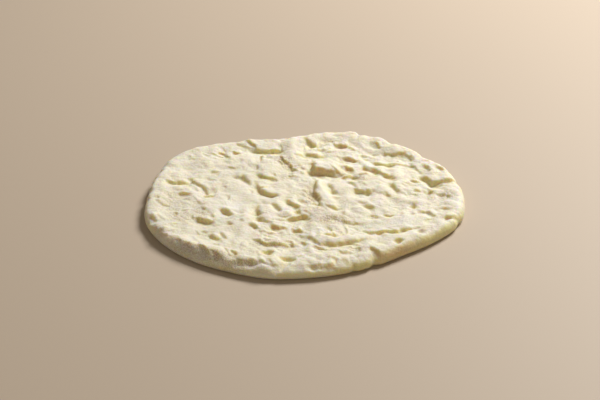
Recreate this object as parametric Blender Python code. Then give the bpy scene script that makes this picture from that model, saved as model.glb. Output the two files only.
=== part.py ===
"""A raw pinsa base: one oval of stretched dough, pushed and folded all over by fingertips.

The dough lies on its flat underside at z = 0, centred on the origin, with its near side
facing -Y. Every size below is in millimetres, and every angle in degrees, turning from +X
towards +Y. The mesh is made in metres.
"""

import math

import bmesh
import bpy
import numpy as np

MM = 0.001

# The outline seen from above: its radius every RIM_STEP degrees, and the small notches in it
RIM_STEP = 15
RIM_RADII = (148, 146.5, 140.5, 135, 133, 130, 117, 112.5, 122, 136, 148, 147, 147, 149.5, 145,
             138.5, 132, 128.5, 123.5, 121.5, 121.5, 124, 134, 146)
RIM_NOTCHES = (  # angle, half width in degrees, depth
    (9, 1.8, 2.5),
    (32, 2.5, 2.5),
    (48, 2.6, 2.5),
    (64, 1.8, 4.0),
    (99, 2.5, 1.8),
    (108, 2.2, 1.5),
    (163, 1.6, 1.6),
    (178, 1.6, 1.6),
    (184, 1.0, 1.0),
    (290, 1.2, 1.0),
    (300, 2.0, 2.2),
    (344, 2.0, 1.5),
)

# Thickness
RIM_HEIGHT = 12.5      # the plump border
MIDDLE_HEIGHT = 10.0   # between the finger marks
BORDER = 26.0          # how far in the border thins out
BORDER_FULL_TO = 0.35  # the share of that over which it keeps its height
WAIST = 4.5            # height of the widest line
TUCK = 4.0             # how far in the edge curls under to the table
LOWEST, HIGHEST = 2.5, 17.5  # heights that the relief never reaches

# How far in from the edge the top rounds over, how straight that slope is from 0 to 1, and
# the extra height of the border, each every RIM_STEP degrees
SHOULDERS = (8, 8, 8, 8, 8, 9, 9, 9, 9, 9, 8, 7, 6, 5, 7, 12, 15, 14, 13, 12, 10, 7, 7, 8)
SLANTS = (0, 0, 0, 0, 0, 0, 0, 0, 0, 0, 0, 0, 0, 0, 0.3, 0.9, 0.6, 0.3, 0.2, 0.2, 0.1, 0, 0, 0)
RIM_EXTRA = (0, 0, 0, 0, 0, 0, 0, 0, 0, 0, 0, 0, 0, -1, -1.5, 1, 0.5, -1.5, -1.5, -1.5, -0.5, 0, 0,
             0)
CREST_BLUNT = 0.15     # how blunt the upper edge of a straight slope is

# A fold is a lip of dough pushed over its neighbour, along an arc. Its left side, looking
# along the heading, stands up and its right side is pressed down. The lean is the share of
# its half length by which its tall part moves back along the arc.
FOLDS = (  # x and y of the middle, length, heading, bend, height, lean
    # back left
    (-38, 83, 36, -4, 26, 4.5, 0),
    (-20, 105, 14, 20, 10, 2.5, 0),
    (-53, 94, 22, -50, 20, 3.1, 0),
    (-77, 72, 14, -60, 0, 2.0, 0),
    (-119, 22, 28, 1, 6, 3.6, 0.1),
    (-107, 26, 10, -80, 20, 3.8, 0),
    (-96, 15, 32, -52, -70, 2.7, 0),
    (-90, -1, 14, -5, 110, 4.0, 0),
    (-113, 1, 12, -5, 80, 3.4, 0),
    (-56, 30, 16, -62, 0, 2.9, -0.2),
    # back middle
    (-43, 69, 16, -88, 0, 2.7, 0),
    (-38, 33, 22, -18, 60, 2.9, 0),
    (-21, 65, 20, -70, 0, 2.9, 0),
    (-13, 50, 18, -55, 60, 2.7, 0),
    (4, 99, 20, -52, 10, 3.8, -0.3),
    (13, 93, 13, 62, 0, 2.7, 0),
    (9, 73, 26, -8, 100, 3.8, 0.1),
    (20, 41, 34, -6, 48, 9.5, 0.35),
    (7, 52, 18, -84, -10, 4.9, 0),
    (29, 46, 18, -50, 0, 2.3, 0),
    (31, 38, 14, -5, 60, 2.3, 0),
    (42, 48, 14, -28, 30, 3.6, 0),
    (41, 33, 14, 18, 60, 3.2, 0),
    (43, 66, 20, -15, 75, 4.9, 0.1),
    (38, 93, 14, -18, 50, 4.1, 0.1),
    # back right
    (58, 74, 10, -5, 90, 3.2, 0),
    (71, 92, 12, -80, 10, 2.3, 0),
    (86, 76, 26, -5, 10, 2.5, 0),
    (100, 69, 16, -50, 20, 1.8, 0),
    (77, 57, 30, -18, 55, 3.1, 0),
    (94, 56, 22, -8, 0, 1.6, 0),
    (61, 48, 17, -22, 30, 4.7, 0),
    (71, 40, 18, -50, 0, 2.7, 0),
    (80, 32, 13, -28, 40, 3.2, 0),
    (106, 50, 22, -60, 0, 2.2, 0),
    (116, 48, 13, -72, 20, 3.2, 0),
    (128, 46, 15, -55, 50, 3.2, 0),
    (116, 26, 26, -38, 76, 4.5, 0.1),
    (129, 23, 30, 6, 10, 4.0, 0),
    (103, 25, 10, -12, 60, 3.2, 0),
    (84, 13, 19, -62, 25, 3.2, 0),
    (116, 8, 14, -68, 30, 3.2, 0),
    # middle
    (-42, 8, 44, -52, 96, 4.5, -0.15),
    (8.5, 2, 56, -82, 40, 4.7, 0),
    (25, 12, 26, -70, 10, 3.2, 0),
    (53, 5, 24, -16, 80, 4.9, 0.05),
    (44, 18, 18, -50, 0, 2.2, 0),
    (-43, -27, 20, -86, 10, 4.3, 0),
    (-27, -21, 15, -52, 40, 3.1, 0),
    (-14, -15, 20, -50, 60, 4.1, -0.1),
    (-6, -40, 26, 14, 50, 4.7, 0),
    (24, -22, 14, -20, 40, 2.0, 0),
    # front left
    (-91, -45, 17, -12, 110, 5.8, 0.1),
    (-72, -31, 17, -45, 40, 4.1, 0.2),
    (-81, -71, 14, -18, 50, 3.4, 0),
    (-138, -41, 14, -40, 50, 3.4, 0),
    (-38, -43, 16, -28, 50, 4.0, 0),
    (-47, -52, 12, -35, 40, 3.6, 0),
    (-25, -54, 17, -8, 20, 3.8, 0),
    (-30, -83, 46, -14, 75, 3.4, 0),
    (-13, -79, 9, -100, 0, 2.7, 0),
    (-52, -112, 24, -6, 25, 4.9, 0),
    (-62, -98, 14, -50, 20, 3.1, 0),
    (-73, -103, 20, -20, 20, 2.7, 0),
    (-21, -121, 26, -122, 50, 4.1, 0),
    # front right
    (-8, -60, 11, 0, 30, 4.5, 0),
    (22, -68, 12, -5, 40, 3.8, 0),
    (31, -82, 50, 10, 62, 4.1, 0),
    (6, -76, 16, -55, 10, 2.7, 0),
    (18, -117, 18, 2, 14, 4.7, 0),
    (60, -95, 16, -60, 0, 3.4, 0),
    (56, -61, 12, -40, 40, 2.3, 0),
    (78, -62, 44, 9, 20, 3.8, 0),
    (131, -42, 13, 8, 60, 4.9, 0),
    (59, -20, 14, -25, 10, 3.1, 0),
)
CREASES = (  # smaller folds, in the same terms
    (-46, 50, 12, -98, 0, 2.2, 0),
    (-82, 79, 9, -20, 40, 2.2, 0),
    (-67, 79, 8, -10, 40, 2.2, 0),
    (16, 84, 15, 25, -25, 2.3, 0),
    (129, -2, 19, -28, 0, 2.2, 0),
    (102, 3, 8, -60, 0, 2.2, 0),
    (77, 0, 10, -30, 90, 2.2, 0),
    (114, -33, 14, -48, 20, 2.2, 0),
    (105, -29, 8, -10, 0, 2.0, 0),
    (-18, -36, 17, 5, 60, 2.0, 0),
    (75, -34, 12, -25, 0, 2.0, 0),
    (13, -88, 13, -32, 0, 2.5, 0),
    (33, -96, 12, -12, 80, 2.0, 0),
    (40, -47, 18, -10, 15, 2.0, 0),
    (-72, -68, 14, -50, 0, 2.0, 0),
    (-78, -100, 16, -38, 0, 2.0, 0),
    (-68, -97, 15, -53, 0, 2.2, 0),
)
LIP_ROUND = 1.2        # how wide a lip's rounded front is, for a fold of no height
LIP_SHARE = 0.65       # of the height, added to it
FOOT_SHARP = 0.4       # how upright the lip's foot is, 0 to 1
FOLD_REACH = 4.0       # how far a fold's two sides reach, for a fold of no height
HIGH_REACH = 0.8       # of the height, added to that on the high side
LOW_REACH = 0.6        # and on the low side
RISING_SHARE = 0.45    # of a fold's height, the part above the dough round it
TIGHTEST_REACH = 0.6   # of the arc's radius: the high side never reaches further in
FULL_TO, GONE_AT = 0.45, 1.15  # shares of the half length where a fold fades out
ROLL_FULL_TO, ROLL_GONE_AT = 0.5, 1.2  # and where a roll does
STRAIGHT_BEND = 0.5    # the bend that a straight fold is given

# Fingertip holes and knobs left standing
HOLES = (  # x, y, two radii, the first one's direction, depth
    (-34, -96, 5.4, 3.2, -12, 3.8),
    (-16, -105, 6.0, 3.2, -20, 3.4),
    (-29, -117, 4.0, 2.2, 5, 2.0),
    (5, -118, 4.5, 2.8, -20, 3.0),
    (98, -20, 2.4, 2.4, 0, 2.6),
    (-89, 7, 6.0, 7.5, 0, 3.4),
    (81, -82, 3.4, 2.8, 0, 3.4),
    (102, -66, 3.4, 3.4, 0, 3.0),
    (8, 94, 5.0, 4.0, 0, 1.8),
    (-63, -31, 7.0, 3.0, -5, 1.4),
    (-8, -29, 3.2, 2.6, 0, 2.5),
)
KNOBS = (  # the same, with a height for the depth
    (-16, -30, 6.0, 4.2, 0, 1.6),
    (36, 15, 9.0, 16.0, 12, 1.6),
    (-36, 52, 12.0, 15.0, 0, 2.0),
    (-12, 84, 24.0, 8.0, -80, 1.8),
    (-33, -26, 5.0, 10.0, 0, 1.4),
    (54, 24, 9.0, 10.0, 0, 1.6),
    (86, -44, 20.0, 9.0, 5, 1.3),
    (86, -71, 20.0, 8.0, 15, 1.2),
)

# Rounded rolls along an arc
ROLLS = (  # x and y of the middle, length, heading, bend, height, half width
    (15, 8, 48, -80, 34, 2.8, 5.0),
    (-49, -118, 50, -7, 22, 2.6, 4.0),
    (12, -123, 30, 6, 20, 2.0, 2.4),
    (-86, -94, 24, -58, 0, 3.0, 1.7),
    (-70, -105, 26, -28, 0, 3.0, 1.9),
    (-128, -60, 14, 30, 0, 2.0, 1.7),
    (-127, -73, 8, -30, 0, 1.2, 2.2),
    (-114, -72, 12, -25, 0, 1.0, 1.9),
    (29, -74, 38, 5, 44, 2.0, 4.0),
    (4, -26, 26, 72, 40, 1.3, 4.0),
    (-17, -39, 20, 5, 60, 1.3, 2.5),
    (40, -115, 16, -95, 0, 1.2, 2.2),
    (-30, -45, 34, -2, 0, 0.8, 2.4),
)

# The uneven surface between the marks: wavelength, height and seed. Pillows are rounded on
# top with creases between them. They lie flatter on the left and in the smooth places.
SWELLS = ((42.0, 1.6, 11), (19.0, 1.3, 12))
PILLOWS = ((16.0, 2.3, 7),)
PILLOW_LEVEL = 0.3     # of the noise, the part that doesn't change the height
CREASE_ROUND = 0.1     # how blunt the creases between pillows are
CALM_SHARE = 0.55
CALM_FROM, CALM_TO = -70.0, -20.0
SMOOTH_PLACES = (  # x, y, two radii, the first one's direction, how smooth from 0 to 1
    (17, 8, 25, 7, -80, 0.95),
    (34, 18, 20, 10, -75, 0.8),
    (30, -76, 22, 7, 4, 0.8),
    (-17, 88, 20, 9, -85, 0.7),
    (-36, 53, 14, 12, 0, 0.7),
    (-62, 5, 24, 16, 85, 0.8),
    (88, -46, 24, 8, 8, 0.7),
    (88, -72, 26, 7, 15, 0.8),
    (-105, -85, 32, 10, -35, 0.9),
    (12, 58, 16, 7, -10, 0.8),
    (-60, -52, 12, 8, 0, 0.7),
    (-42, 92, 20, 6, 0, 0.7),
)

# How the folds and the other marks stray from their arcs: wavelength, distance, seed
DRIFT = ((13.0, 2.0, 31), (5.5, 0.9, 35))
SPOT_SHARPNESS = 1.4   # how suddenly a hole, a knob or a smooth place ends

# Mesh: quads across the top, and the rings of the side as angles above and below the waist
TOP_QUADS = 65
TOP_EDGE_ANGLE = 60
SIDE_ANGLES = (35, 12)
UNDER_ANGLES = (18, 52, 90)

DOUGH_COLOUR = (0.84, 0.77, 0.60, 1.0)
DOUGH_ROUGHNESS = 0.8


def smooth_step(low, high, value):
    t = np.clip((value - low) / (high - low), 0.0, 1.0)
    return t * t * (3.0 - 2.0 * t)


def around_rim(values, angle):
    """A smooth closed curve through values given every RIM_STEP degrees, at angles in radians."""
    values = np.array(values, float)
    place = np.degrees(angle) / RIM_STEP
    index = np.floor(place).astype(int)
    t = place - index
    before, here, after, beyond = (values[(index + k) % len(values)] for k in (-1, 0, 1, 2))
    return here + 0.5 * t * (
        after - before + t * (2 * before - 5 * here + 4 * after - beyond
                              + t * (3 * (here - after) + beyond - before)))


def rim_radius(angle):
    """The outline's radius: the smooth curve through RIM_RADII, less the notches."""
    radius = around_rim(RIM_RADII, angle)
    for middle, half_width, depth in RIM_NOTCHES:
        away = (np.degrees(angle) - middle + 180.0) % 360.0 - 180.0
        radius = radius - depth * np.exp(-(away / half_width) ** 2)
    return radius


def outline_middle():
    """The middle of the outline's bounding box."""
    angle = np.linspace(0.0, 2 * math.pi, 1440, endpoint=False)
    radius = rim_radius(angle)
    x, y = radius * np.cos(angle), radius * np.sin(angle)
    return (x.min() + x.max()) / 2, (y.min() + y.max()) / 2


def arc_place(x, y, arc):
    """Distance to the left of an arc, the share of its half length forward along it, and its radius."""
    mid_x, mid_y, length, heading, bend = arc[:5]
    course = math.radians(heading)
    radius = length / math.radians(bend or STRAIGHT_BEND)
    left_x, left_y = -math.sin(course), math.cos(course)
    from_x = x - (mid_x + left_x * radius)
    from_y = y - (mid_y + left_y * radius)
    side = math.copysign(1.0, radius) * (abs(radius) - np.hypot(from_x, from_y))
    out_x, out_y = -left_x * radius, -left_y * radius
    turned = np.arctan2(out_x * from_y - out_y * from_x, out_x * from_x + out_y * from_y)
    return side, turned * radius / (length / 2), abs(radius)


def fold_relief(x, y, fold):
    """How far one fold lifts or lowers the surface."""
    height, lean = fold[5:]
    side, along, radius = arc_place(x, y, fold)
    gone_at = GONE_AT + lean * np.sign(along)
    taper = 1.0 - smooth_step(FULL_TO, gone_at, np.abs(along + lean))
    lip = LIP_ROUND + LIP_SHARE * height
    inner = min(FOLD_REACH + HIGH_REACH * height, TIGHTEST_REACH * radius)
    outer = FOLD_REACH + LOW_REACH * height
    up = RISING_SHARE * height * np.exp(-(side / inner) ** 2)
    down = -(1.0 - RISING_SHARE) * height
    low = down * np.exp(-(side / outer) ** 2)
    up_lip = np.clip(side / lip, 0.0, 1.0)
    upright = np.sqrt(1.0 - (1.0 - up_lip) ** 2)
    rounding = (1.0 - FOOT_SHARP) * np.sin(math.pi / 2 * up_lip) + FOOT_SHARP * upright
    return taper * np.where(side < 0.0, low, down + (up - down) * rounding)


def roll_relief(x, y, roll):
    """How far one roll lifts the surface."""
    height, half_width = roll[5:]
    side, along, radius = arc_place(x, y, roll)
    taper = 1.0 - smooth_step(ROLL_FULL_TO, ROLL_GONE_AT, np.abs(along))
    return taper * height * np.exp(-(side / half_width) ** 2)


def spot_relief(x, y, spot):
    """A smooth oval spot, 1 at its middle."""
    mid_x, mid_y, first, second, direction = spot[:5]
    course = math.radians(direction)
    u = (x - mid_x) * math.cos(course) + (y - mid_y) * math.sin(course)
    v = (y - mid_y) * math.cos(course) - (x - mid_x) * math.sin(course)
    return np.exp(-(((u / first) ** 2 + (v / second) ** 2) ** SPOT_SHARPNESS))


def wave_noise(x, y, wavelength, seed):
    """Smooth seeded noise from about -1 to 1."""
    cells = 256
    turn = np.random.default_rng(seed).uniform(0, 2 * math.pi, (cells, cells))
    u = x / wavelength + cells / 2
    v = y / wavelength + cells / 2
    i = np.floor(u).astype(int)
    j = np.floor(v).astype(int)
    fu = u - i
    fv = v - j
    ease_u = fu ** 3 * (fu * (6 * fu - 15) + 10)
    ease_v = fv ** 3 * (fv * (6 * fv - 15) + 10)
    total = 0.0
    for du, share_u in ((0, 1 - ease_u), (1, ease_u)):
        for dv, share_v in ((0, 1 - ease_v), (1, ease_v)):
            t = turn[(i + du) % cells, (j + dv) % cells]
            total = total + share_u * share_v * (np.cos(t) * (fu - du) + np.sin(t) * (fv - dv))
    return 1.5 * total


def uneven_relief(x, y):
    """The swells and pillows between the finger marks."""
    height = 0.0
    for wavelength, rise, seed in SWELLS:
        height = height + rise * wave_noise(x, y, wavelength, seed)
    lively = CALM_SHARE + (1.0 - CALM_SHARE) * smooth_step(CALM_FROM, CALM_TO, x)
    for place in SMOOTH_PLACES:
        lively = lively * (1.0 - place[5] * spot_relief(x, y, place))
    for wavelength, rise, seed in PILLOWS:
        away = np.sqrt(wave_noise(x, y, wavelength, seed) ** 2 + CREASE_ROUND ** 2)
        height = height + lively * rise * (away - PILLOW_LEVEL)
    return height


def drifted(x, y):
    """The place on the undisturbed dough of a point that the stretching has moved."""
    moved_x, moved_y = x, y
    for wavelength, distance, seed in DRIFT:
        moved_x = moved_x + distance * wave_noise(x, y, wavelength, seed)
        moved_y = moved_y + distance * wave_noise(x, y, wavelength, seed + 1)
    return moved_x, moved_y


def top_height(x, y, inset):
    """The top surface's height, before it rounds over at the edge."""
    border = 1.0 - smooth_step(BORDER_FULL_TO * BORDER, BORDER, inset)
    rim_height = RIM_HEIGHT + around_rim(RIM_EXTRA, np.arctan2(y, x))
    height = MIDDLE_HEIGHT + (rim_height - MIDDLE_HEIGHT) * border
    height = height + uneven_relief(x, y)
    mark_x, mark_y = drifted(x, y)
    for fold in FOLDS + CREASES:
        height = height + fold_relief(mark_x, mark_y, fold)
    for roll in ROLLS:
        height = height + roll_relief(mark_x, mark_y, roll)
    for hole in HOLES:
        height = height - hole[5] * spot_relief(mark_x, mark_y, hole)
    for knob in KNOBS:
        height = height + knob[5] * spot_relief(mark_x, mark_y, knob)
    middle, half = (LOWEST + HIGHEST) / 2, (HIGHEST - LOWEST) / 2
    return middle + half * np.tanh((height - middle) / half)


def disc_point(u, v):
    """A point of the square from -1 to 1 as a share of the radius and an angle, at even spacing."""
    share = np.maximum(np.abs(u), np.abs(v))
    wide = np.abs(u) >= np.abs(v)
    safe_u = np.where(u == 0, 1.0, u)
    safe_v = np.where(v == 0, 1.0, v)
    angle = np.where(wide, math.pi / 4 * v / safe_u, math.pi / 2 - math.pi / 4 * u / safe_v)
    return share, angle + np.where(np.where(wide, u, v) < 0, math.pi, 0.0)


def edge_inset(angle, angle_above):
    """How far in from the outline the shoulder is at an angle above the waist."""
    return around_rim(SHOULDERS, angle) * (1.0 - math.cos(math.radians(angle_above)))


def slope_rise(angle, outward):
    """The share of the height above the waist, by how far out on the shoulder it is, 0 to 1."""
    slant = around_rim(SLANTS, angle)
    fall = np.sqrt(outward ** 2 + CREST_BLUNT ** 2) - CREST_BLUNT
    straight = 1.0 - fall / (math.sqrt(1.0 + CREST_BLUNT ** 2) - CREST_BLUNT)
    return slant * straight + (1.0 - slant) * np.sqrt(1.0 - outward ** 2)


def place_top(verts):
    """Spreads the flat square of vertices over the dough's top."""
    flat = np.array([v.co[:2] for v in verts])
    share, angle = disc_point(flat[:, 0], flat[:, 1])
    rim = rim_radius(angle)
    radius = share * (rim - edge_inset(angle, TOP_EDGE_ANGLE))
    inset = rim - radius
    x, y = radius * np.cos(angle), radius * np.sin(angle)
    outward = np.clip(1.0 - inset / around_rim(SHOULDERS, angle), 0.0, 1.0)
    z = WAIST + (top_height(x, y, inset) - WAIST) * slope_rise(angle, outward)
    for vert, place in zip(verts, np.stack([x, y, z], -1)):
        vert.co = place * MM


def add_ring(mesh, boundary, inset_at, height_at):
    """Extrudes the open boundary into the next ring of the side."""
    made = bmesh.ops.extrude_edge_only(mesh, edges=boundary)["geom"]
    verts = [g for g in made if isinstance(g, bmesh.types.BMVert)]
    flat = np.array([v.co[:2] for v in verts])
    angle = np.arctan2(flat[:, 1], flat[:, 0])
    inset = inset_at(angle)
    radius = rim_radius(angle) - inset
    x, y = radius * np.cos(angle), radius * np.sin(angle)
    for vert, place in zip(verts, np.stack([x, y, height_at(x, y, inset)], -1)):
        vert.co = place * MM
    return [g for g in made if isinstance(g, bmesh.types.BMEdge) and g.is_boundary]


def dough_mesh():
    """The whole dough: its relief top, rounded side and flat underside."""
    mesh = bmesh.new()
    bmesh.ops.create_grid(mesh, x_segments=TOP_QUADS, y_segments=TOP_QUADS, size=1.0)
    place_top(list(mesh.verts))
    bmesh.ops.triangulate(mesh, faces=mesh.faces, quad_method="SHORT_EDGE")
    boundary = [e for e in mesh.edges if e.is_boundary]
    for angle_above in SIDE_ANGLES:
        outward = math.cos(math.radians(angle_above))
        boundary = add_ring(
            mesh, boundary,
            lambda angle: edge_inset(angle, angle_above),
            lambda x, y, inset: WAIST + (top_height(x, y, inset) - WAIST)
            * slope_rise(np.arctan2(y, x), outward))
    for angle_below in UNDER_ANGLES:
        turned = math.radians(angle_below)
        boundary = add_ring(
            mesh, boundary,
            lambda angle: np.full(angle.shape, TUCK * (1.0 - math.cos(turned))),
            lambda x, y, inset: np.full(x.shape, WAIST * (1.0 - math.sin(turned))))
    bmesh.ops.contextual_create(mesh, geom=boundary)
    bmesh.ops.recalc_face_normals(mesh, faces=mesh.faces)
    middle_x, middle_y = outline_middle()
    bmesh.ops.translate(mesh, verts=mesh.verts, vec=(-middle_x * MM, -middle_y * MM, 0.0))
    data = bpy.data.meshes.new("dough")
    mesh.to_mesh(data)
    mesh.free()
    return data


def dough_material():
    material = bpy.data.materials.new("floured dough")
    material.use_nodes = True
    shader = material.node_tree.nodes["Principled BSDF"]
    shader.inputs["Base Color"].default_value = DOUGH_COLOUR
    shader.inputs["Roughness"].default_value = DOUGH_ROUGHNESS
    shader.inputs["Metallic"].default_value = 0.0
    return material


def main():
    for old in list(bpy.data.objects):
        bpy.data.objects.remove(old)
    data = dough_mesh()
    data.materials.append(dough_material())
    data.shade_smooth()
    dough = bpy.data.objects.new("dough_base", data)
    bpy.context.scene.collection.objects.link(dough)


main()
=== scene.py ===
import math

import bmesh
import bpy
import numpy as np
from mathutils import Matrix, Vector


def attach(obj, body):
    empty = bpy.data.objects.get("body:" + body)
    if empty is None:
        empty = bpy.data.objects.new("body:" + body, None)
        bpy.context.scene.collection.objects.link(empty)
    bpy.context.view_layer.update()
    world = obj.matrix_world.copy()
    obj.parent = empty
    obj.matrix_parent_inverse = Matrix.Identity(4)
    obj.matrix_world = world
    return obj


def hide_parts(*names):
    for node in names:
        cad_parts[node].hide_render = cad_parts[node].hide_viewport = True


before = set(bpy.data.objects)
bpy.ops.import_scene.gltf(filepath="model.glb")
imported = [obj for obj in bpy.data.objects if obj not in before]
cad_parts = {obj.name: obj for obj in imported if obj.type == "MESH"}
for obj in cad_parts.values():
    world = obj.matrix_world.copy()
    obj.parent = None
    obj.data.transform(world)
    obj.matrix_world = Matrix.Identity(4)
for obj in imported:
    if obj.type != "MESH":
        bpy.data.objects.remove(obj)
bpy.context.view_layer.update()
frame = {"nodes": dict(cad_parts)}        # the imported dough, one node in one body
print("Frame loaded:", ", ".join(frame["nodes"]))

mm = 0.001

# The raw pinsa base. Lengths are in mm and angles in degrees, turning from +X towards +Y.
dough = {
    "node": "dough_base",
    "rimStep": 15,
    "rimRadii": (148, 146.5, 140.5, 135, 133, 130, 117, 112.5, 122, 136, 148, 147,
                 147, 149.5, 145, 138.5, 132, 128.5, 123.5, 121.5, 121.5, 124, 134, 146),
    "rimHeight": 12.5,       # the plump border
    "middleHeight": 10.0,    # between the finger marks
    "border": 26.0,          # how far in the border thins out
    "borderFullTo": 0.35,    # the share of that over which it keeps its height
    "shoulders": (8, 8, 8, 8, 8, 9, 9, 9, 9, 9, 8, 7,  # how far in the top rounds over, per rimStep
                  6, 5, 7, 12, 15, 14, 13, 12, 10, 7, 7, 8),
    "slants": (0, 0, 0, 0, 0, 0, 0, 0, 0, 0, 0, 0,     # how straight that slope is, 0 to 1
               0, 0, 0.3, 0.9, 0.6, 0.3, 0.2, 0.2, 0.1, 0, 0, 0),
    "crestBlunt": 0.15,      # how blunt the upper edge of a straight slope is
    "rimExtra": (0, 0, 0, 0, 0, 0, 0, 0, 0, 0, 0, 0,   # more height at the border
                 0, -1, -1.5, 1, 0.5, -1.5, -1.5, -1.5, -0.5, 0, 0, 0),
    "waist": 4.5,            # height of the widest line
    "tuck": 4.0,             # how far the edge curls under
    "lowest": 2.5,           # heights that the relief never reaches
    "highest": 17.5,
    "topQuads": 290,         # across the top
    "edgeAngle": 62,         # where the top's grid ends and the side's rings begin
    "sideAngles": (50, 38, 26, 13),          # above the waist
    "underAngles": (0, 18, 36, 54, 72, 90),  # below the waist
}

# Small notches in the outline: angle, half width in degrees, depth
rimNotches = (
    (9, 1.8, 2.5), (32, 2.5, 2.5), (48, 2.6, 2.5), (64, 1.8, 4.0), (99, 2.5, 1.8),
    (108, 2.2, 1.5), (163, 1.6, 1.6), (178, 1.6, 1.6), (184, 1.0, 1.0), (290, 1.2, 1.0),
    (300, 2.0, 2.2), (344, 2.0, 1.5),
)

# Folds: a lip pushed over its neighbour along an arc, its left side up and its right side down.
# x and y of the middle, length, heading, bend, height, lean: the share by which the tall part
# moves back along the arc
folds = (
    # back left
    (-38, 83, 36, -4, 26, 4.5, 0),
    (-20, 105, 14, 20, 10, 2.5, 0),
    (-53, 94, 22, -50, 20, 3.1, 0),
    (-77, 72, 14, -60, 0, 2.0, 0),
    (-119, 22, 28, 1, 6, 3.6, 0.1),
    (-107, 26, 10, -80, 20, 3.8, 0),
    (-96, 15, 32, -52, -70, 2.7, 0),
    (-90, -1, 14, -5, 110, 4.0, 0),
    (-113, 1, 12, -5, 80, 3.4, 0),
    (-56, 30, 16, -62, 0, 2.9, -0.2),
    # back middle
    (-43, 69, 16, -88, 0, 2.7, 0),
    (-38, 33, 22, -18, 60, 2.9, 0),
    (-21, 65, 20, -70, 0, 2.9, 0),
    (-13, 50, 18, -55, 60, 2.7, 0),
    (4, 99, 20, -52, 10, 3.8, -0.3),
    (13, 93, 13, 62, 0, 2.7, 0),
    (9, 73, 26, -8, 100, 3.8, 0.1),
    (20, 41, 34, -6, 48, 9.5, 0.35),
    (7, 52, 18, -84, -10, 4.9, 0),
    (29, 46, 18, -50, 0, 2.3, 0),
    (31, 38, 14, -5, 60, 2.3, 0),
    (42, 48, 14, -28, 30, 3.6, 0),
    (41, 33, 14, 18, 60, 3.2, 0),
    (43, 66, 20, -15, 75, 4.9, 0.1),
    (38, 93, 14, -18, 50, 4.1, 0.1),
    # back right
    (58, 74, 10, -5, 90, 3.2, 0),
    (71, 92, 12, -80, 10, 2.3, 0),
    (86, 76, 26, -5, 10, 2.5, 0),
    (100, 69, 16, -50, 20, 1.8, 0),
    (77, 57, 30, -18, 55, 3.1, 0),
    (94, 56, 22, -8, 0, 1.6, 0),
    (61, 48, 17, -22, 30, 4.7, 0),
    (71, 40, 18, -50, 0, 2.7, 0),
    (80, 32, 13, -28, 40, 3.2, 0),
    (106, 50, 22, -60, 0, 2.2, 0),
    (116, 48, 13, -72, 20, 3.2, 0),
    (128, 46, 15, -55, 50, 3.2, 0),
    (116, 26, 26, -38, 76, 4.5, 0.1),
    (129, 23, 30, 6, 10, 4.0, 0),
    (103, 25, 10, -12, 60, 3.2, 0),
    (84, 13, 19, -62, 25, 3.2, 0),
    (116, 8, 14, -68, 30, 3.2, 0),
    # middle
    (-42, 8, 44, -52, 96, 4.5, -0.15),
    (8.5, 2, 56, -82, 40, 4.7, 0),
    (25, 12, 26, -70, 10, 3.2, 0),
    (53, 5, 24, -16, 80, 4.9, 0.05),
    (44, 18, 18, -50, 0, 2.2, 0),
    (-43, -27, 20, -86, 10, 4.3, 0),
    (-27, -21, 15, -52, 40, 3.1, 0),
    (-14, -15, 20, -50, 60, 4.1, -0.1),
    (-6, -40, 26, 14, 50, 4.7, 0),
    (24, -22, 14, -20, 40, 2.0, 0),
    # front left
    (-91, -45, 17, -12, 110, 5.8, 0.1),
    (-72, -31, 17, -45, 40, 4.1, 0.2),
    (-81, -71, 14, -18, 50, 3.4, 0),
    (-138, -41, 14, -40, 50, 3.4, 0),
    (-38, -43, 16, -28, 50, 4.0, 0),
    (-47, -52, 12, -35, 40, 3.6, 0),
    (-25, -54, 17, -8, 20, 3.8, 0),
    (-30, -83, 46, -14, 75, 3.4, 0),
    (-13, -79, 9, -100, 0, 2.7, 0),
    (-52, -112, 24, -6, 25, 4.9, 0),
    (-62, -98, 14, -50, 20, 3.1, 0),
    (-73, -103, 20, -20, 20, 2.7, 0),
    (-21, -121, 26, -122, 50, 4.1, 0),
    # front right
    (-8, -60, 11, 0, 30, 4.5, 0),
    (22, -68, 12, -5, 40, 3.8, 0),
    (31, -82, 50, 10, 62, 4.1, 0),
    (6, -76, 16, -55, 10, 2.7, 0),
    (18, -117, 18, 2, 14, 4.7, 0),
    (60, -95, 16, -60, 0, 3.4, 0),
    (56, -61, 12, -40, 40, 2.3, 0),
    (78, -62, 44, 9, 20, 3.8, 0),
    (131, -42, 13, 8, 60, 4.9, 0),
    (59, -20, 14, -25, 10, 3.1, 0),
)

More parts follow.
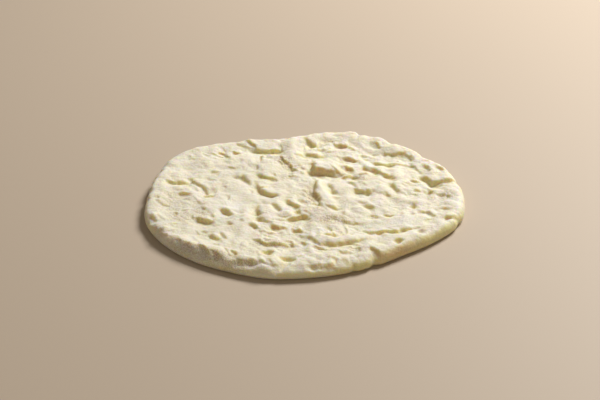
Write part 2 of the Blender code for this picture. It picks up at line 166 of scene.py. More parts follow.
# Finer creases between them, in the same terms
creases = (
    # back
    (-60, 90, 20, -31, 70, 1.3, 0),
    (-35, 101, 12, -5, 0, 1.3, 0),
    (-87, 43, 10, -15, 40, 1.8, 0),
    (-72, 51, 10, -20, 80, 1.4, 0),
    (-46, 50, 12, -98, 0, 2.2, 0),
    (-24, 60, 9, -63, 0, 1.8, 0),
    (-24, 88, 14, -90, 0, 1.2, 0),
    (-82, 79, 9, -20, 40, 2.2, 0),
    (-67, 79, 8, -10, 40, 2.2, 0),
    (-105, 80, 5, -20, 60, 1.1, 0),
    (-96, 73, 5, -20, 60, 1.1, 0),
    (-108, 66, 5, -20, 60, 1.1, 0),
    (-98, 57, 5, -20, 60, 1.1, 0),
    (16, 84, 15, 25, -25, 2.3, 0),
    (36, 51, 8, -83, 0, 1.8, 0),
    (46, 87, 9, -50, 0, 1.8, 0),
    (104, 68, 7, -50, 0, 1.4, 0),
    # middle
    (-50, 8, 9, -84, 0, 1.6, 0),
    (129, -2, 19, -28, 0, 2.2, 0),
    (102, 3, 8, -60, 0, 2.2, 0),
    (77, 0, 10, -30, 90, 2.2, 0),
    (114, -33, 14, -48, 20, 2.2, 0),
    (105, -29, 8, -10, 0, 2.0, 0),
    (-18, -36, 17, 5, 60, 2.0, 0),
    (-24, -42, 16, 0, 0, 1.1, 0),
    (6, -8, 15, -53, 0, 1.4, 0),
    (6, 6, 22, -77, 0, 1.2, 0),
    (30, -21, 8, 60, 0, 1.4, 0),
    (-102, -38, 10, -80, 0, 1.9, 0),
    (-71, -4, 12, -92, 0, 1.9, 0),
    (-98, -14, 7, -80, 0, 1.9, 0),
    (-110, -28, 6, -30, 0, 1.4, 0),
    (-129, -17, 6, 0, 40, 1.4, 0),
    (-125, -1, 6, -60, 0, 1.2, 0),
    (-130, -40, 9, -30, 0, 1.4, 0),
    (-67, -47, 8, -50, 0, 1.7, 0),
    (-95, -62, 7, -50, 0, 1.4, 0),
    (-93, -25, 8, -60, 0, 1.4, 0),
    (-118, -52, 8, 15, 20, 1.3, 0),
    (-136, -8, 7, -70, 0, 1.4, 0),
    # front
    (75, -34, 12, -25, 0, 2.0, 0),
    (85, -34, 7, 50, 0, 1.4, 0),
    (62, -36, 10, -40, 0, 1.8, 0),
    (-30, -62, 25, -8, 10, 1.4, 0),
    (35, -59, 17, -80, 0, 1.6, 0),
    (13, -88, 13, -32, 0, 2.5, 0),
    (33, -96, 12, -12, 80, 2.0, 0),
    (43, -90, 10, -8, 0, 1.6, 0),
    (40, -47, 18, -10, 15, 2.0, 0),
    (42, -116, 14, -98, 0, 1.8, 0),
    (-89, -60, 8, -40, 0, 1.4, 0),
    (-72, -68, 14, -50, 0, 2.0, 0),
    (-88, -90, 24, -62, 0, 1.8, 0),
    (-78, -100, 16, -38, 0, 2.0, 0),
    (-68, -97, 15, -53, 0, 2.2, 0),
    (-122, -62, 12, 20, 0, 1.3, 0),
    (-36, -113, 12, -36, 0, 1.9, 0),
    (-102, -87, 11, -52, 20, 1.9, 0),
    (-110, -79, 9, -40, 0, 1.8, 0),
    (-92, -99, 11, -50, 0, 1.9, 0),
    (-126, -68, 9, -40, 0, 1.7, 0),
    (-97, -93, 8, -64, 0, 1.8, 0),
)

# Fingertip holes, and knobs left standing: x, y, two radii, the first one's direction, depth or height
holes = (
    (-34, -96, 5.4, 3.2, -12, 3.8),
    (-16, -105, 6.0, 3.2, -20, 3.4),
    (-29, -117, 4.0, 2.2, 5, 2.0),
    (5, -118, 4.5, 2.8, -20, 3.0),
    (98, -20, 2.4, 2.4, 0, 2.6),
    (-89, 7, 6.0, 7.5, 0, 3.4),
    (81, -82, 3.4, 2.8, 0, 3.4),
    (102, -66, 3.4, 3.4, 0, 3.0),
    (8, 94, 5.0, 4.0, 0, 1.8),
    (-63, -31, 7.0, 3.0, -5, 1.4),
    (-8, -29, 3.2, 2.6, 0, 2.5),
)
knobs = (
    (-16, -30, 6.0, 4.2, 0, 1.6),
    (36, 15, 9.0, 16.0, 12, 1.6),
    (-36, 52, 12.0, 15.0, 0, 2.0),
    (-12, 84, 24.0, 8.0, -80, 1.8),
    (-33, -26, 5.0, 10.0, 0, 1.4),
    (54, 24, 9.0, 10.0, 0, 1.6),
    (86, -44, 20.0, 9.0, 5, 1.3),
    (86, -71, 20.0, 8.0, 15, 1.2),
)

# Rounded rolls along an arc: x and y of the middle, length, heading, bend, height, half width
rolls = (
    (15, 8, 48, -80, 34, 2.8, 5.0),
    (-49, -118, 50, -7, 22, 2.6, 4.0),
    (12, -123, 30, 6, 20, 2.0, 2.4),
    (-86, -94, 24, -58, 0, 3.0, 1.7),
    (-70, -105, 26, -28, 0, 3.0, 1.9),
    (-128, -60, 14, 30, 0, 2.0, 1.7),
    (-127, -73, 8, -30, 0, 1.2, 2.2),
    (-114, -72, 12, -25, 0, 1.0, 1.9),
    (29, -74, 38, 5, 44, 2.0, 4.0),
    (4, -26, 26, 72, 40, 1.3, 4.0),
    (-17, -39, 20, 5, 60, 1.3, 2.5),
    (40, -115, 16, -95, 0, 1.2, 2.2),
    (-30, -45, 34, -2, 0, 0.8, 2.4),
)

# Smooth places: x, y, two radii, the first one's direction, how smooth from 0 to 1
calmSpots = (
    (17, 8, 25, 7, -80, 0.95), (34, 18, 20, 10, -75, 0.8), (30, -76, 22, 7, 4, 0.8),
    (-17, 88, 20, 9, -85, 0.7), (-36, 53, 14, 12, 0, 0.7), (-62, 5, 24, 16, 85, 0.8),
    (88, -46, 24, 8, 8, 0.7), (88, -72, 26, 7, 15, 0.8), (-105, -85, 32, 10, -35, 0.9),
    (12, 58, 16, 7, -10, 0.8), (-60, -52, 12, 8, 0, 0.7), (-42, 92, 20, 6, 0, 0.7),
)

# The surface between the marks
relief = {
    "lipRound": 1.2,            # how wide a lip's rounded front is, for a fold of no height
    "lipShare": 0.65,           # of the height, added to it
    "foldReach": 4.0,           # how far its sides reach, for a fold of no height
    "highReach": 0.8,           # of the height, added to that on the high side
    "lowReach": 0.6,            # and on the low side
    "tightestReach": 0.6,       # of the arc's radius: the high side never reaches further in
    "risingShare": 0.45,        # how much of a fold stands up; the rest is pressed down
    "footSharp": 0.4,           # how upright its foot is, 0 to 1
    "foldFade": (0.45, 1.15),   # shares of the half length between which a fold fades out
    "rollFade": (0.5, 1.2),     # and a roll
    "straightBend": 0.5,        # the bend that a straight fold is given
    "spotSharpness": 1.4,       # how suddenly a hole, a knob or a patch ends
    "swells": ((42.0, 1.6, 11), (19.0, 1.3, 12)),   # wavelength, height, seed
    "pillows": ((16.0, 2.3, 7), (8.5, 0.8, 8)),     # rounded, with creases between them
    "drift": ((13.0, 2.0, 31), (5.5, 0.9, 35)),     # how the marks stray from their arcs
    "wrinkles": ((6.0, 0.36, 3), (3.2, 0.30, 4)),
    "wrinkleHeading": -22,
    "wrinkleStretch": 1.8,
    "crumbs": (2.3, 0.5, 9),    # only in the crumbly patches
    "creaseBlunt": 0.01,        # rounds the creases between pillows and between wrinkles
    "pillowLevel": 0.3,         # of the noise, the part that doesn't change the height
    "calmShare": 0.7,           # of the pillows, on the floured left
    "calmFade": (-70.0, -20.0),  # x from which that ends, and where it has ended
}

# Random small folds between the others: the least and the most of each
smallFold = {
    "count": 150,
    "seed": 21,
    "fromEdge": 8,
    "length": (4, 12),
    "heading": (-32, 34),       # the middle and the spread
    "bend": (0, 110),
    "height": (0.6, 1.0),
    "extraHeight": 1.2,         # that a few of them have
    "calmBelow": 0.3,           # no fold where the dough is calmer than this
}


def smoothStep(low, high, value):
    t = np.clip((value - low) / (high - low), 0.0, 1.0)
    return t * t * (3.0 - 2.0 * t)


def aroundRim(values, angle):
    # a smooth closed curve through the values, one per rimStep
    values = np.array(values, float)
    place = np.degrees(angle) / dough["rimStep"]
    index = np.floor(place).astype(int)
    t = place - index
    before, here, after, beyond = (values[(index + k) % len(values)] for k in (-1, 0, 1, 2))
    return here + 0.5 * t * (
        after - before + t * (2 * before - 5 * here + 4 * after - beyond
                              + t * (3 * (here - after) + beyond - before)))


def rimRadius(angle):
    # the outline seen from above, less its notches
    radius = aroundRim(dough["rimRadii"], angle)
    for middle, halfWidth, depth in rimNotches:
        away = (np.degrees(angle) - middle + 180.0) % 360.0 - 180.0
        radius = radius - depth * np.exp(-(away / halfWidth) ** 2)
    return radius


def outlineMiddle():
    # the middle of the outline's bounding box
    angle = np.linspace(0.0, 2 * math.pi, 1440, endpoint=False)
    radius = rimRadius(angle)
    x, y = radius * np.cos(angle), radius * np.sin(angle)
    return (x.min() + x.max()) / 2, (y.min() + y.max()) / 2


def arcPlace(x, y, arc):
    # distance to the left of an arc, the share of its half length along it, and its radius
    midX, midY, length, heading, bend = arc[:5]
    course = math.radians(heading)
    radius = length / math.radians(bend or relief["straightBend"])
    leftX, leftY = -math.sin(course), math.cos(course)
    fromX = x - (midX + leftX * radius)
    fromY = y - (midY + leftY * radius)
    side = math.copysign(1.0, radius) * (abs(radius) - np.hypot(fromX, fromY))
    outX, outY = -leftX * radius, -leftY * radius
    turned = np.arctan2(outX * fromY - outY * fromX, outX * fromX + outY * fromY)
    return side, turned * radius / (length / 2), abs(radius)


def foldRelief(x, y, fold):
    height, lean = fold[5:]
    side, along, radius = arcPlace(x, y, fold)
    fullTo, goneAt = relief["foldFade"]
    taper = 1.0 - smoothStep(fullTo, goneAt + lean * np.sign(along), np.abs(along + lean))
    lip = relief["lipRound"] + relief["lipShare"] * height
    reach = relief["foldReach"]
    inner = min(reach + relief["highReach"] * height, relief["tightestReach"] * radius)
    outer = reach + relief["lowReach"] * height
    up = relief["risingShare"] * height * np.exp(-(side / inner) ** 2)
    down = -(1.0 - relief["risingShare"]) * height
    low = down * np.exp(-(side / outer) ** 2)
    toTop = np.clip(side / lip, 0.0, 1.0)
    sharp = relief["footSharp"]
    upright = np.sqrt(1.0 - (1.0 - toTop) ** 2)
    rounding = (1.0 - sharp) * np.sin(math.pi / 2 * toTop) + sharp * upright
    return taper * np.where(side < 0.0, low, down + (up - down) * rounding)


def rollRelief(x, y, roll):
    side, along, radius = arcPlace(x, y, roll)
    height, halfWidth = roll[5:]
    taper = 1.0 - smoothStep(*relief["rollFade"], np.abs(along))
    return height * np.exp(-(side / halfWidth) ** 2) * taper


def spotRelief(x, y, spot):
    # a smooth oval spot, 1 at its middle
    midX, midY, first, second, direction = spot[:5]
    course = math.radians(direction)
    u = (x - midX) * math.cos(course) + (y - midY) * math.sin(course)
    v = (y - midY) * math.cos(course) - (x - midX) * math.sin(course)
    return np.exp(-(((u / first) ** 2 + (v / second) ** 2) ** relief["spotSharpness"]))


def waveNoise(x, y, wavelength, seed):
    # smooth seeded noise from -1 to 1
    cells = 256
    random = np.random.default_rng(seed)
    turn = random.uniform(0, 2 * math.pi, (cells, cells))
    u = x / wavelength + cells / 2
    v = y / wavelength + cells / 2
    i = np.floor(u).astype(int)
    j = np.floor(v).astype(int)
    fu = u - i
    fv = v - j
    wu = fu * fu * fu * (fu * (6 * fu - 15) + 10)
    wv = fv * fv * fv * (fv * (6 * fv - 15) + 10)
    total = 0.0
    for du, shareU in ((0, 1 - wu), (1, wu)):
        for dv, shareV in ((0, 1 - wv), (1, wv)):
            t = turn[(i + du) % cells, (j + dv) % cells]
            total = total + shareU * shareV * (np.cos(t) * (fu - du) + np.sin(t) * (fv - dv))
    return 1.5 * total


def patchShare(x, y, patches):
    # the strongest of some soft patches at each point, 0 to 1
    share = np.zeros(np.shape(x))
    for patch in patches:
        share = np.maximum(share, spotRelief(x, y, patch) * patch[5])
    return share


def calmShare(x, y):
    # how lively the dough is between its marks, 0 to 1
    lively = relief["calmShare"] + (1.0 - relief["calmShare"]) * smoothStep(*relief["calmFade"], x)
    for spot in calmSpots:
        lively = lively * (1.0 - spot[5] * spotRelief(x, y, spot))
    return lively


def smallFolds():
    # random small folds that fill the dough between the big ones, fewer on the floured left
    random = np.random.default_rng(smallFold["seed"])
    calmBelow = smallFold["calmBelow"]
    made = []
    while len(made) < smallFold["count"]:
        angle = random.uniform(0, 2 * math.pi)
        share = math.sqrt(random.uniform(0, 1))
        radius = share * (float(rimRadius(np.array(angle))) - smallFold["fromEdge"])
        x, y = radius * math.cos(angle), radius * math.sin(angle)
        length = random.uniform(*smallFold["length"])
        heading = random.normal(*smallFold["heading"])
        bend = random.uniform(*smallFold["bend"])
        height = random.uniform(*smallFold["height"])
        height = height + smallFold["extraHeight"] * random.uniform(0, 1) ** 2
        if random.uniform(0, 1) < (calmShare(x, y) - calmBelow) / (1.0 - calmBelow):
            made.append((x, y, length, heading, bend, height, 0.0))
    return made


def creasedNoise(x, y, wavelength, seed):
    # rounded mounds with creases between them
    wave = waveNoise(x, y, wavelength, seed)
    return np.sqrt(wave ** 2 + relief["creaseBlunt"]) - relief["pillowLevel"]


def topHeight(x, y, inset):
    # the height of the top before it rounds over at the edge
    border = 1.0 - smoothStep(dough["borderFullTo"] * dough["border"], dough["border"], inset)
    rimHeight = dough["rimHeight"] + aroundRim(dough["rimExtra"], np.arctan2(y, x))
    height = dough["middleHeight"] + (rimHeight - dough["middleHeight"]) * border
    calm = calmShare(x, y)
    for wavelength, rise, seed in relief["swells"]:
        height = height + rise * waveNoise(x, y, wavelength, seed)
    for wavelength, rise, seed in relief["pillows"]:
        height = height + calm * rise * creasedNoise(x, y, wavelength, seed)
    markX, markY = x, y
    for wavelength, shift, seed in relief["drift"]:
        markX = markX + shift * waveNoise(x, y, wavelength, seed)
        markY = markY + shift * waveNoise(x, y, wavelength, seed + 1)
    for fold in folds + creases + tuple(smallFolds()):
        height = height + foldRelief(markX, markY, fold)
    for roll in rolls:
        height = height + rollRelief(markX, markY, roll)
    for hole in holes:
        height = height - hole[5] * spotRelief(markX, markY, hole)
    for knob in knobs:
        height = height + knob[5] * spotRelief(markX, markY, knob)
    course = math.radians(relief["wrinkleHeading"])
    along = (x * math.cos(course) + y * math.sin(course)) / relief["wrinkleStretch"]
    across = y * math.cos(course) - x * math.sin(course)
    for wavelength, rise, seed in relief["wrinkles"]:
        height = height + calm * rise * creasedNoise(along, across, wavelength, seed)
    wavelength, rise, seed = relief["crumbs"]
    height = height + rise * waveNoise(x, y, wavelength, seed) * patchShare(x, y, crumblyPatches)
    middle = (dough["lowest"] + dough["highest"]) / 2
    half = (dough["highest"] - dough["lowest"]) / 2
    return middle + half * np.tanh((height - middle) / half)


def discPoint(u, v):
    # a point of the square from -1 to 1 as a share of the radius and an angle
    share = np.maximum(np.abs(u), np.abs(v))
    wide = np.abs(u) >= np.abs(v)
    safeU = np.where(u == 0, 1.0, u)
    safeV = np.where(v == 0, 1.0, v)
    angle = np.where(wide, math.pi / 4 * v / safeU, math.pi / 2 - math.pi / 4 * u / safeV)
    return share, angle + np.where(np.where(wide, u, v) < 0, math.pi, 0.0)


def edgeInset(angle, angleAbove):
    return aroundRim(dough["shoulders"], angle) * (1.0 - math.cos(math.radians(angleAbove)))


def slopeRise(angle, outward):
    # the share of the height above the waist, by how far out on the shoulder it is, 0 to 1
    slant = aroundRim(dough["slants"], angle)
    blunt = dough["crestBlunt"]
    fall = np.sqrt(outward ** 2 + blunt ** 2) - blunt
    straight = 1.0 - fall / (math.sqrt(1.0 + blunt ** 2) - blunt)
    return slant * straight + (1.0 - slant) * np.sqrt(1.0 - outward ** 2)


def placeTop(verts):
    # spreads the flat square over the top
    flat = np.array([v.co[:2] for v in verts])
    share, angle = discPoint(flat[:, 0], flat[:, 1])
    rim = rimRadius(angle)
    radius = share * (rim - edgeInset(angle, dough["edgeAngle"]))
    inset = rim - radius
    x, y = radius * np.cos(angle), radius * np.sin(angle)
    outward = np.clip(1.0 - inset / aroundRim(dough["shoulders"], angle), 0.0, 1.0)
    z = dough["waist"] + (topHeight(x, y, inset) - dough["waist"]) * slopeRise(angle, outward)
    for vert, place in zip(verts, np.stack([x, y, z], -1)):
        vert.co = place * mm


def addRing(mesh, boundary, insetOf, heightOf):
    # extrudes the open boundary into the next ring of the side
    made = bmesh.ops.extrude_edge_only(mesh, edges=boundary)["geom"]
    verts = [g for g in made if isinstance(g, bmesh.types.BMVert)]
    flat = np.array([v.co[:2] for v in verts])
    angle = np.arctan2(flat[:, 1], flat[:, 0])
    inset = insetOf(angle)
    radius = rimRadius(angle) - inset
    x, y = radius * np.cos(angle), radius * np.sin(angle)
    for vert, place in zip(verts, np.stack([x, y, heightOf(x, y, inset)], -1)):
        vert.co = place * mm
    return [g for g in made if isinstance(g, bmesh.types.BMEdge) and g.is_boundary]


def doughMesh():
    # the relief top, the rounded side and the flat underside as one closed mesh
    mesh = bmesh.new()
    bmesh.ops.create_grid(mesh, x_segments=dough["topQuads"], y_segments=dough["topQuads"], size=1.0)
    placeTop(list(mesh.verts))
    print("Dough top shaped:", len(mesh.verts), "points")
    boundary = [e for e in mesh.edges if e.is_boundary]
    waist = dough["waist"]
    for angleAbove in dough["sideAngles"]:
        outward = math.cos(math.radians(angleAbove))
        boundary = addRing(
            mesh, boundary,
            lambda angle: edgeInset(angle, angleAbove),
            lambda x, y, inset: waist + (topHeight(x, y, inset) - waist)
            * slopeRise(np.arctan2(y, x), outward))
    for angleBelow in dough["underAngles"]:
        turned = math.radians(angleBelow)
        boundary = addRing(
            mesh, boundary,
            lambda angle: np.full(angle.shape, dough["tuck"] * (1.0 - math.cos(turned))),
            lambda x, y, inset: np.full(x.shape, waist * (1.0 - math.sin(turned))))
    bmesh.ops.contextual_create(mesh, geom=boundary)
    bmesh.ops.recalc_face_normals(mesh, faces=mesh.faces)
    middleX, middleY = outlineMiddle()
    bmesh.ops.translate(mesh, verts=mesh.verts, vec=(-middleX * mm, -middleY * mm, 0.0))
    data = bpy.data.meshes.new("dough")
    mesh.to_mesh(data)
    mesh.free()
    data.shade_smooth()
    return data


def runningSum(values, reach, axis):
    # sums each value with those up to reach away along one axis
    padded = np.concatenate([np.zeros_like(values.take([0], axis))] * (reach + 1)
                            + [values] + [np.zeros_like(values.take([0], axis))] * reach, axis)
    sums = np.cumsum(padded, axis)
    span = values.shape[axis]
    ahead = sums.take(range(2 * reach + 1, 2 * reach + 1 + span), axis)
    return ahead - sums.take(range(0, span), axis)


def setShare(data, name, values):
    data.attributes.new(name, "FLOAT", "POINT").data.foreach_set("value", values.astype(np.float32))


def markFlourAndShade(data):
    # how bare each point is, with its painted shade, as steep and sunk places are, and where flour
    # lies thick, 0 to 1
    places = np.empty(len(data.vertices) * 3)
    data.vertices.foreach_get("co", places)
    x, y, z = (places.reshape(-1, 3) / mm).T
    column = (x - x.min()).astype(int)
    row = (y - y.min()).astype(int)
    shape = (column.max() + 1, row.max() + 1)
    top = z > dough["waist"]
    weight = np.zeros(shape)
    total = np.zeros(shape)
    np.add.at(weight, (column[top], row[top]), 1.0)
    np.add.at(total, (column[top], row[top]), z[top])
    for turn in range(2):
        for axis in (0, 1):
            weight = runningSum(weight, doughFinish["hollowReach"], axis)
            total = runningSum(total, doughFinish["hollowReach"], axis)
    below = (total / np.maximum(weight, 1e-6))[column, row] - z
    normals = np.empty(len(data.vertices) * 3)
    data.vertices.foreach_get("normal", normals)
    steep = smoothStep(doughFinish["flatBelow"], doughFinish["steepAbove"], 1.0 - normals[2::3])
    sunk = smoothStep(*doughFinish["hollowDepth"], below)
    middleX, middleY = outlineMiddle()
    x, y = x + middleX, y + middleY
    # painted shade: steep walls, sunk hollows and all below the waist take the bare dough's yellower
    # tone, partly real bare dough
    bareAndShade = np.where(top, 1.0 - (1.0 - steep) * (1.0 - sunk), 1.0)
    setShare(data, "bareAndShade", bareAndShade * (1.0 - patchShare(x, y, dustedSidesLessShade)))
    clinging = (1.0 - smoothStep(0.0, doughFinish["flourDepth"], below)) * (1.0 - steep)
    setShare(data, "flour", clinging * patchShare(x, y, flourPatches))
    setShare(data, "crumbly", patchShare(x, y, crumblyPatches))
    # painted warm shade, where the listed patches lie
    setShare(data, "warmShade", patchShare(x, y, warmShadePatches))


# Raw dough under a dusting of flour, with painted shade in its hollows and on its walls
doughFinish = {
    "cream": (0.855, 0.815, 0.705, 1.0),
    "flour": (0.90, 0.87, 0.79, 1.0),
    # the bare dough's yellower tone, partly painted warm shade on hollows, walls and the underside
    "bareAndShade": (0.85, 0.785, 0.45, 1.0),
    "crumb": (0.74, 0.69, 0.50, 1.0),   # the rougher, greyer specks
    "dried": (0.56, 0.43, 0.28, 1.0),   # specks of dried flour
    # painted warm shade, darker orange, in the listed hollows
    "warmShade": (0.80, 0.60, 0.34, 1.0),
    "roughness": (0.58, 0.85),          # varies between these from place to place
    "glow": 1.0,                        # light that passes through the dough
    "glowScale": 0.006,
    "glowRadius": (1.0, 0.78, 0.25),
    "hollowReach": 5,                   # how far round a point its depth is measured
    "hollowDepth": (-0.6, 3.5),         # depth from which a hollow takes the bare tone with its painted shade, and where it has all of it
    "flourDepth": 1.6,                  # depth where thick flour ends
    "flatBelow": 0.04,                  # steepness from which flour slips off and the walls' painted shade tone begins
    "steepAbove": 0.40,                 # and where no flour is left and that painted shade tone is full
    "patches": (60.0, 4.0),             # noise scale and detail of the dusting
    "grain": ((420.0, 5.0), (1100.0, 3.0)),  # and of the skin's grain, fine and finest
    "dustFrom": (0.35, 0.55),           # values of the noise where thick flour begins and is full
    "roughFrom": (0.3, 0.7),            # where the roughness is least and most
    "greyFrom": (0.52, 0.70),           # where the greyer specks begin and are full
    "driedFrom": (0.44, 0.58),          # and the dried ones
    "finestShare": 0.4,                 # of the finer one, in the grain's height
    "speckShare": (0.5, 0.9),           # how strong the greyer and the dried specks are
    "grainHeight": 0.0015,
    "grainShare": (0.5, 1.0),           # of it, on smooth dough and on crumbly dough
    "crumblyFull": 0.6,                 # crumbliness from which the grain has its full height
}

# Where the flour lies thick: x, y, two radii, the first one's direction, share
flourPatches = (
    (-66, -28, 16, 34, 8, 0.9),
    (30, -73, 22, 5, 4, 1.0),
    (18, 6, 6, 22, 8, 0.9),
    (10, -62, 8, 8, 0, 0.7),
    (-45, -116, 20, 5, 0, 1.0),
    (-15, -28, 12, 10, 0, 0.8),
    (-24, -46, 22, 4, 0, 0.8),
    (0, -90, 12, 12, 0, 0.7),
    (86, -46, 24, 10, 5, 0.8),
    (138, -14, 10, 24, 10, 0.9),
    (88, -68, 20, 6, 15, 0.7),
    (100, 60, 26, 10, -20, 0.6),
    (60, 62, 20, 14, -20, 0.6),
    (-20, 100, 40, 8, 5, 0.5),
    (60, -5, 16, 6, -20, 0.6),
    (15, 50, 10, 12, 0, 0.7),
)

# Steep sides that are dusted too and so lose the bare tone with its painted shade, in the same terms
dustedSidesLessShade = (
    (-112, -84, 52, 20, -38, 1.0), (-45, -121, 34, 11, -6, 0.8), (-145, -20, 10, 40, 0, 0.8),
    (0, -124, 34, 9, 0, 0.5), (144, -10, 10, 26, 0, 0.6), (30, 15, 10, 14, 0, 0.4),
    (65, 122, 62, 14, -8, 0.7), (-75, 106, 70, 14, 8, 0.7), (-128, 62, 14, 40, -30, 0.7),
    (132, 62, 14, 46, 30, 0.6),
)

# Where damp flour has dried to crumbs, and where painted warm shade darkens the hollows
crumblyPatches = (
    (-21, 65, 11, 7, -30, 1.0), (-11, 53, 11, 5, -25, 0.9), (5, 0, 19, 6, -80, 1.0),
    (12, -27, 9, 6, 0, 0.8), (24, -42, 17, 9, 0, 1.0), (-30, -80, 22, 5, 0, 0.7),
    (12, -86, 8, 4, -20, 0.6), (55, 30, 9, 7, 0, 0.7), (22, 48, 12, 5, -30, 0.5),
    (-96, -38, 9, 9, 0, 0.6), (-20, 35, 10, 8, 0, 0.4), (40, -88, 14, 5, 0, 0.4),
    (-80, -100, 28, 9, -32, 0.8), (136, -2, 9, 5, -20, 0.6), (110, 0, 12, 8, 0, 0.3),
    (106, -58, 9, 5, 0, 0.4), (15, 104, 14, 6, 0, 0.4), (-50, -95, 14, 6, 0, 0.4),
    (-125, -10, 14, 20, 0, 0.3), (-104, -88, 22, 8, -38, 0.7), (-58, -112, 24, 6, -12, 0.8),
    (-128, -62, 12, 8, -50, 0.4), (-112, -38, 16, 12, -30, 0.35), (-95, -24, 8, 16, 0, 0.4),
    (-125, 32, 12, 8, 0, 0.3),
)
warmShadePatches = (
    (-25, -53, 9, 3.5, 0, 0.9), (-8, -57, 6, 5, 0, 0.8), (18, -112, 9, 5, 0, 1.0),
    (40, 46, 10, 5, 0, 0.9), (-16, 109, 8, 4, 0, 0.9), (-82, 81, 5, 3, 0, 0.9),
    (-67, 81, 4, 3, 0, 0.7), (11, 0, 16, 4, -80, 0.8), (20, -17, 7, 5, -40, 0.8),
    (44, 68, 9, 4, -10, 0.8), (41, 95, 7, 4, 0, 0.9), (14, 44, 12, 7, 0, 0.7),
    (-6, -35, 10, 4, 15, 0.6), (31, -79, 18, 3, 8, 0.5), (80, -92, 30, 8, 24, 0.6),
    (62, 48, 8, 5, -10, 0.6), (-91, 6, 5, 6, 0, 0.7), (-42, 12, 10, 6, -50, 0.4),
    (34, 37, 8, 4, 0, 0.7), (56, 12, 9, 4, -15, 0.6), (124, 31, 16, 4, 0, 0.4),
    (30, -112, 12, 8, 0, 0.4),
)


def flouredDough():
    material = bpy.data.materials.new("floured raw dough")
    material.use_nodes = True
    tree = material.node_tree
    shader = tree.nodes["Principled BSDF"]
    shader.inputs["Subsurface Weight"].default_value = doughFinish["glow"]
    shader.inputs["Subsurface Scale"].default_value = doughFinish["glowScale"]
    shader.inputs["Subsurface Radius"].default_value = doughFinish["glowRadius"]
    place = tree.nodes.new("ShaderNodeTexCoord")

    def noise(scale, detail):
        node = tree.nodes.new("ShaderNodeTexNoise")
        node.inputs["Scale"].default_value = scale
        node.inputs["Detail"].default_value = detail
        tree.links.new(place.outputs["Object"], node.inputs["Vector"])
        return node.outputs["Fac"]

    def share(name):
        node = tree.nodes.new("ShaderNodeAttribute")
        node.attribute_name = name
        return node.outputs["Fac"]

    def ramp(value, low, high, toLow=0.0, toHigh=1.0):
        # a value from low to high, spread over toLow to toHigh
        node = tree.nodes.new("ShaderNodeMapRange")
        node.inputs["From Min"].default_value = low
        node.inputs["From Max"].default_value = high
        node.inputs["To Min"].default_value = toLow
        node.inputs["To Max"].default_value = toHigh
        tree.links.new(value, node.inputs["Value"])
        return node.outputs["Result"]

    def product(first, second):
        node = tree.nodes.new("ShaderNodeMath")
        node.operation = "MULTIPLY"
        tree.links.new(first, node.inputs[0])
        tree.links.new(second, node.inputs[1])
        return node.outputs["Value"]

    def blend(factor, first, second):
        node = tree.nodes.new("ShaderNodeMix")
        node.data_type = "RGBA"
        tree.links.new(factor, node.inputs["Factor"])
        for socket, colour in (("A", first), ("B", second)):
            if isinstance(colour, tuple):
                node.inputs[socket].default_value = colour
            else:
                tree.links.new(colour, node.inputs[socket])
        return node.outputs["Result"]

    patchy = noise(*doughFinish["patches"])
    fine, finest = (noise(*grain) for grain in doughFinish["grain"])
    greyer, dried = doughFinish["speckShare"]
    greySpecks = ramp(fine, *doughFinish["greyFrom"], 0.0, greyer)
    colour = blend(greySpecks, doughFinish["cream"], doughFinish["crumb"])
    # bare dough on walls and in hollows, partly painted shade
    colour = blend(share("bareAndShade"), colour, doughFinish["bareAndShade"])
    # painted warm shade in the listed hollows and on their walls
    paintedWarmShade = product(share("warmShade"), share("bareAndShade"))
    colour = blend(paintedWarmShade, colour, doughFinish["warmShade"])
    dusted = product(share("flour"), ramp(patchy, *doughFinish["dustFrom"]))
    colour = blend(dusted, colour, doughFinish["flour"])
    specks = product(share("crumbly"), ramp(finest, *doughFinish["driedFrom"], 0.0, dried))
    colour = blend(specks, colour, doughFinish["dried"])
    tree.links.new(colour, shader.inputs["Base Color"])
    rough = ramp(patchy, *doughFinish["roughFrom"], *doughFinish["roughness"])
    tree.links.new(rough, shader.inputs["Roughness"])

    height = tree.nodes.new("ShaderNodeMath")
    height.operation = "ADD"
    tree.links.new(fine, height.inputs[0])
    tree.links.new(ramp(finest, 0.0, 1.0, 0.0, doughFinish["finestShare"]), height.inputs[1])
    bump = tree.nodes.new("ShaderNodeBump")
    bump.inputs["Distance"].default_value = doughFinish["grainHeight"]
    tree.links.new(height.outputs["Value"], bump.inputs["Height"])
    crumblyFull = doughFinish["crumblyFull"]
    grainShare = ramp(share("crumbly"), 0.0, crumblyFull, *doughFinish["grainShare"])
    tree.links.new(grainShare, bump.inputs["Strength"])
    tree.links.new(bump.outputs["Normal"], shader.inputs["Normal"])
    return material


def makeDough():
    data = doughMesh()
    markFlourAndShade(data)
    data.materials.append(flouredDough())
    piece = bpy.data.objects.new("floured_dough", data)
    bpy.context.scene.collection.objects.link(piece)
    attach(piece, "root")
    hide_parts(dough["node"])
    print("Dough made:", len(data.polygons), "faces")


makeDough()

# Floor, light and camera
studio = {
    "floorColour": (0.57, 0.475, 0.383, 1.0),
    "floorSize": 6.0,        # metres, as are the places, sizes and distance below
    "floorRoughness": 0.6,
    "floorDrop": 0.0002,     # below the dough's underside
    "skyColour": (1.0, 0.88, 0.68, 1.0),
    "skyStrength": 0.17,
    "lampPlace": (0.978, 1.165, 1.419),
    "lampSize": 0.8,
    "lampPower": 48.5,
    "lampColour": (1.0, 0.97, 0.92),
    "fillPlace": (-0.2, -1.5, 0.7),
    "fillSize": 1.2,
    "fillPower": 2.2,
    "fillColour": (1.0, 0.90, 0.74),
    "lens": 78.0,
    "filmWidth": 36.0,
    "elevation": 31.5,
    "distance": 1.218,
    "aim": (-4.75, 7.5, 0.0),  # mm, in the terms of the dough's outline
}


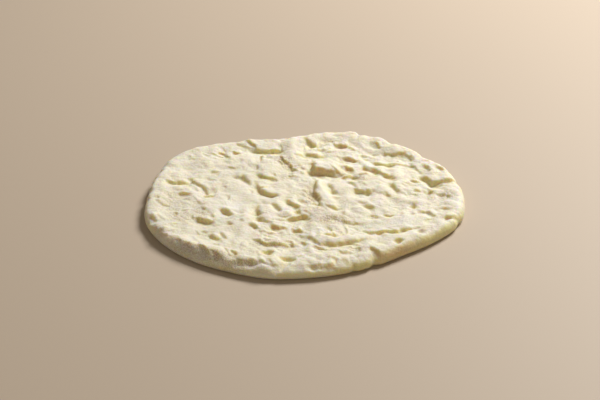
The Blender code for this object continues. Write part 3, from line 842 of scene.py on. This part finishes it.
def makeFloor():
    half = studio["floorSize"] / 2
    mesh = bmesh.new()
    turns = ((-1, -1), (1, -1), (1, 1), (-1, 1))
    corners = [mesh.verts.new((x * half, y * half, 0.0)) for x, y in turns]
    mesh.faces.new(corners)
    data = bpy.data.meshes.new("floor")
    mesh.to_mesh(data)
    mesh.free()
    material = bpy.data.materials.new("pale floor")
    material.use_nodes = True
    shader = material.node_tree.nodes["Principled BSDF"]
    shader.inputs["Base Color"].default_value = studio["floorColour"]
    shader.inputs["Roughness"].default_value = studio["floorRoughness"]
    data.materials.append(material)
    floor = bpy.data.objects.new("floor", data)
    floor.location.z = -studio["floorDrop"]
    bpy.context.scene.collection.objects.link(floor)


def makeLight():
    world = bpy.data.worlds.new("soft room")
    world.use_nodes = True
    sky = world.node_tree.nodes["Background"]
    sky.inputs["Color"].default_value = studio["skyColour"]
    sky.inputs["Strength"].default_value = studio["skyStrength"]
    bpy.context.scene.world = world
    for name in ("lamp", "fill"):
        lamp = bpy.data.lights.new(name, "AREA")
        lamp.shape = "DISK"
        lamp.size = studio[name + "Size"]
        lamp.energy = studio[name + "Power"]
        lamp.color = studio[name + "Colour"]
        holder = bpy.data.objects.new(name, lamp)
        holder.location = studio[name + "Place"]
        holder.rotation_euler = Vector(studio[name + "Place"]).to_track_quat("Z", "Y").to_euler()
        bpy.context.scene.collection.objects.link(holder)


def makeCamera():
    lens = bpy.data.cameras.new("camera")
    lens.lens = studio["lens"]
    lens.sensor_width = studio["filmWidth"]
    camera = bpy.data.objects.new("camera", lens)
    tilt = math.radians(studio["elevation"])
    middleX, middleY = outlineMiddle()
    aimX, aimY, aimZ = studio["aim"]
    aim = Vector(((aimX - middleX) * mm, (aimY - middleY) * mm, aimZ * mm))
    back = Vector((0.0, -math.cos(tilt), math.sin(tilt)))
    camera.location = aim + back * studio["distance"]
    camera.rotation_euler = (math.pi / 2 - tilt, 0.0, 0.0)
    bpy.context.scene.collection.objects.link(camera)
    bpy.context.scene.camera = camera


makeFloor()
makeLight()
makeCamera()
bpy.context.scene.view_settings.view_transform = "Standard"
print("Studio ready")
